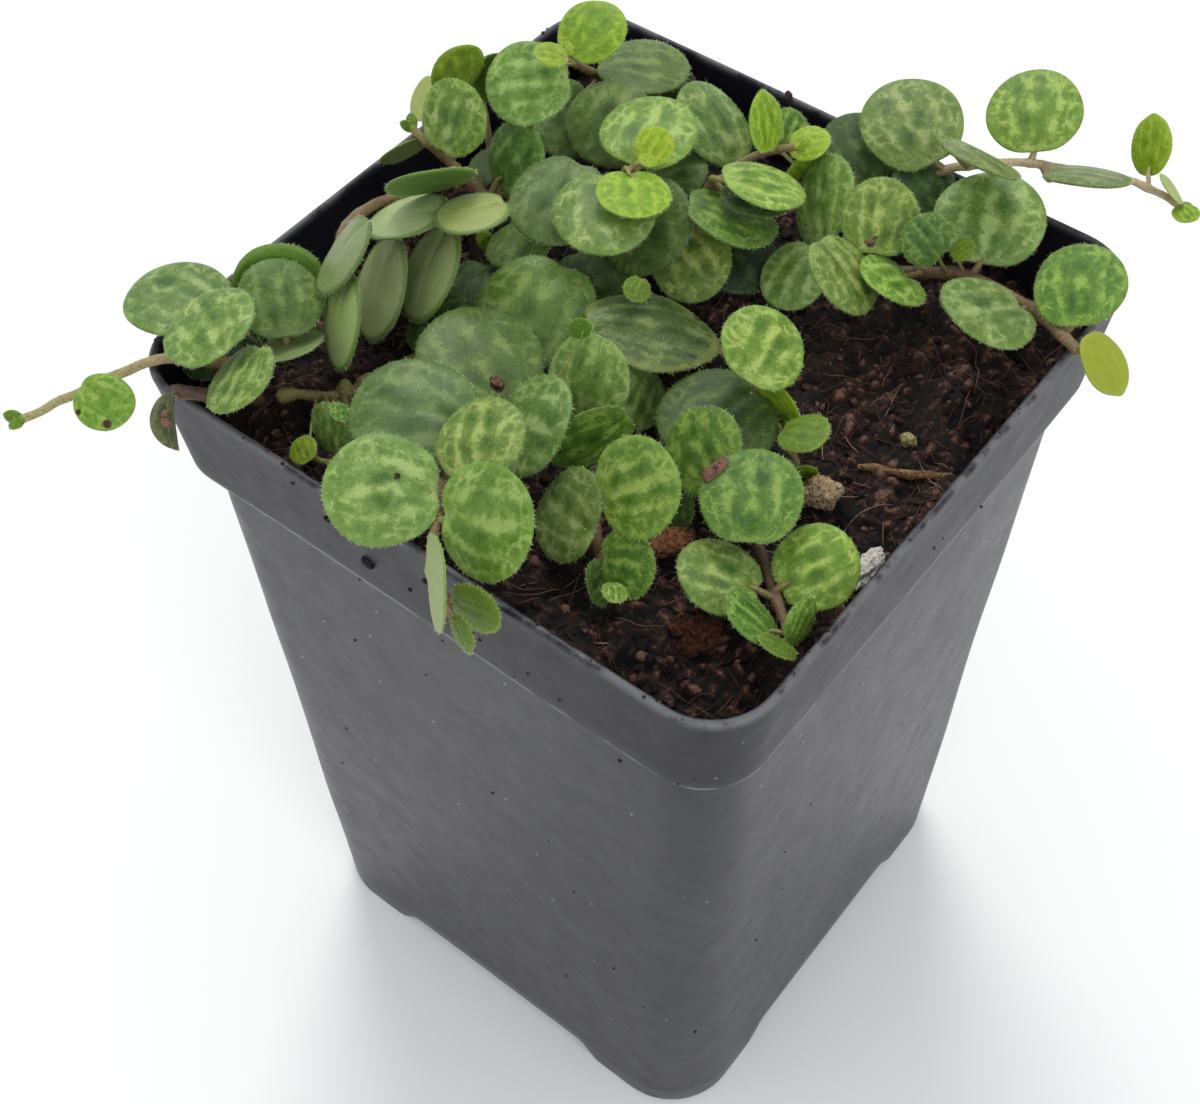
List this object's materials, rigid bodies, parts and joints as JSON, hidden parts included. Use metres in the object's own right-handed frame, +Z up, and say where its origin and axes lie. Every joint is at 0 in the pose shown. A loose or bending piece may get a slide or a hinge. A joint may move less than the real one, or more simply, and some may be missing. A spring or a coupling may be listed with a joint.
{
  "type": "potted peperomia plant",
  "caption": "Creeping peperomia with small round turtle-shell leaves in a square, tapered black nursery pot of dark soil; its thin stems trail over the rim.",
  "frame": {"origin": "middle of the outer box in plan, on the surface that the pot's four corner feet stand on", "axes": "+Z up; the pot's four sides lie along X and Y; the trailing stems leave the rim towards -X -Y and +X +Y"},
  "size_m": [0.1012, 0.12, 0.1427],
  "materials": {
    "pot_plastic": "thin moulded black plastic, satin, slightly wavy and scuffed",
    "soil_mix": "loose dark peat and coir, matt and fibrous",
    "bark": "rough, matt",
    "perlite": "crumbly, matt",
    "stem": "reddish brown to yellow-green, downy",
    "leaf_mature": "fleshy, satin, green with a pale net of veins",
    "leaf_dull": "fleshy, dull grey-green",
    "leaf_dark": "fleshy, satin, dark green",
    "leaf_sheen": "smooth with a pale sheen"
  },
  "bodies": {
    "root": {"pot": "pot_plastic", "soil": "soil_mix", "bark_lump_beige": "bark", "perlite_chunk_white": "perlite", "grit_lump_yellow": "perlite", "bark_chip_brown": "bark", "peat_clump_front": "soil_mix", "root_twig": "bark", "stem_left": "stem", "stem_left_wall": "stem", "stem_back_left": "stem", "stem_back": "stem", "stem_middle_back": "stem", "stem_back_right": "stem", "stem_right": "stem", "stem_right_front": "stem", "stem_front_left": "stem", "stem_front_middle": "stem", "stem_front_right": "stem", "stem_centre": "stem", "stem_small_left": "stem", "cut_stem": "stem", "leaf_left_1": "leaf_mature", "leaf_left_2": "leaf_mature", "leaf_left_wall_1": "leaf_sheen", "leaf_left_wall_2": "leaf_sheen", "leaf_left_wall_3": "leaf_sheen", "leaf_left_wall_4": "leaf_sheen", "leaf_back_1": "leaf_dull", "leaf_back_2": "leaf_dull", "leaf_back_3": "leaf_dull", "leaf_back_4": "leaf_mature", "leaf_middle_back_1": "leaf_mature", "leaf_middle_back_2": "leaf_dull", "leaf_middle_back_3": "leaf_mature", "leaf_middle_back_4": "leaf_dull", "leaf_back_right_1": "leaf_mature", "leaf_back_right_2": "leaf_mature", "leaf_back_right_3": "leaf_mature", "leaf_right_1": "leaf_mature", "leaf_right_2": "leaf_mature", "leaf_right_3": "leaf_mature", "leaf_right_4": "leaf_dark", "leaf_right_front_1": "leaf_mature", "leaf_right_front_2": "leaf_mature", "leaf_right_front_3": "leaf_mature", "leaf_right_front_4": "leaf_mature", "leaf_front_left_1": "leaf_dull", "leaf_front_left_2": "leaf_dull", "leaf_front_left_3": "leaf_mature", "leaf_front_left_4": "leaf_mature", "leaf_front_left_5": "leaf_mature", "leaf_front_middle_1": "leaf_dull", "leaf_front_middle_2": "leaf_mature", "leaf_front_middle_3": "leaf_mature", "leaf_front_middle_4": "leaf_dull", "leaf_front_right_1": "leaf_mature", "leaf_centre_1": "leaf_dark"}
  },
  "joints": []
}
